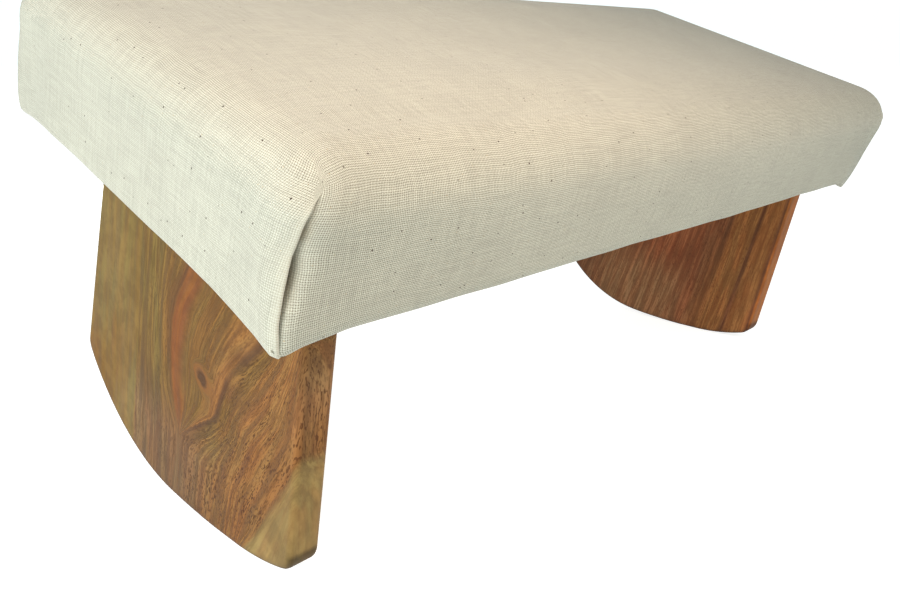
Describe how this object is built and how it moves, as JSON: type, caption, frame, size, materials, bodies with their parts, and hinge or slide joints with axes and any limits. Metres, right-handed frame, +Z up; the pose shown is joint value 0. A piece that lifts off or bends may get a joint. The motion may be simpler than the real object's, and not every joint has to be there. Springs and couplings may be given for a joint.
{
  "type": "kneeling bench",
  "caption": "Small padded kneeling bench: a canvas-covered seat on two wooden legs with curved rocker feet that fold flat under the seat.",
  "frame": {"origin": "middle of the bench's bounding box, on the floor, with the unloaded bench at rest on its rocker feet, tipped 18.6 degrees forward", "axes": "+X along the seat to the right, +Y to the rear, +Z up"},
  "size_m": [0.46, 0.2274, 0.2282],
  "materials": {
    "cotton_canvas": "unbleached plain-weave cotton canvas, matt, with small dark seed flecks",
    "upholstery_foam": "open-cell upholstery foam, matt",
    "board_wood": "bare sanded plywood",
    "oiled_hardwood": "oiled hardwood with pale sapwood and a knot, satin",
    "hinge_brass": "brushed, slightly dulled",
    "staple_steel": "bright galvanised wire"
  },
  "bodies": {
    "seat": {"seat_board": "board_wood", "foam_pad": "upholstery_foam", "seat_cover": "cotton_canvas", "staple_front_1": "staple_steel", "staple_front_2": "staple_steel", "staple_front_3": "staple_steel", "staple_front_4": "staple_steel", "staple_front_5": "staple_steel", "staple_front_6": "staple_steel", "staple_front_7": "staple_steel", "staple_front_8": "staple_steel", "staple_rear_1": "staple_steel", "staple_rear_2": "staple_steel", "staple_rear_3": "staple_steel", "staple_rear_4": "staple_steel", "staple_rear_5": "staple_steel", "staple_rear_6": "staple_steel", "staple_rear_7": "staple_steel", "staple_rear_8": "staple_steel", "staple_left_1": "staple_steel", "staple_left_2": "staple_steel", "staple_left_3": "staple_steel", "staple_left_4": "staple_steel", "staple_right_1": "staple_steel", "staple_right_2": "staple_steel", "staple_right_3": "staple_steel", "staple_right_4": "staple_steel", "left_front_hinge_seat_leaf": "hinge_brass", "left_front_hinge_pin": "hinge_brass", "left_front_hinge_seat_screw_1": "hinge_brass", "left_front_hinge_seat_screw_2": "hinge_brass", "left_rear_hinge_seat_leaf": "hinge_brass", "left_rear_hinge_pin": "hinge_brass", "left_rear_hinge_seat_screw_1": "hinge_brass", "left_rear_hinge_seat_screw_2": "hinge_brass", "right_front_hinge_seat_leaf": "hinge_brass", "right_front_hinge_pin": "hinge_brass", "right_front_hinge_seat_screw_1": "hinge_brass", "right_front_hinge_seat_screw_2": "hinge_brass", "right_rear_hinge_seat_leaf": "hinge_brass", "right_rear_hinge_pin": "hinge_brass", "right_rear_hinge_seat_screw_1": "hinge_brass", "right_rear_hinge_seat_screw_2": "hinge_brass"},
    "left_leg": {"left_rocker_leg": "oiled_hardwood", "left_front_hinge_leg_leaf": "hinge_brass", "left_front_hinge_leg_screw_1": "hinge_brass", "left_front_hinge_leg_screw_2": "hinge_brass", "left_rear_hinge_leg_leaf": "hinge_brass", "left_rear_hinge_leg_screw_1": "hinge_brass", "left_rear_hinge_leg_screw_2": "hinge_brass"},
    "right_leg": {"right_rocker_leg": "oiled_hardwood", "right_front_hinge_leg_leaf": "hinge_brass", "right_front_hinge_leg_screw_1": "hinge_brass", "right_front_hinge_leg_screw_2": "hinge_brass", "right_rear_hinge_leg_leaf": "hinge_brass", "right_rear_hinge_leg_screw_1": "hinge_brass", "right_rear_hinge_leg_screw_2": "hinge_brass"}
  },
  "joints": [
    {"name": "left_leg_fold", "type": "hinge", "parent": "seat", "child": "left_leg", "pos_m": [-0.18395, -0.00836, 0.14572], "axis": [0, -0.9478, -0.319], "range_deg": [0, 90]},
    {"name": "right_leg_fold", "type": "hinge", "parent": "seat", "child": "right_leg", "pos_m": [0.18395, -0.00836, 0.14572], "axis": [0, 0.9478, 0.319], "range_deg": [0, 90]}
  ]
}
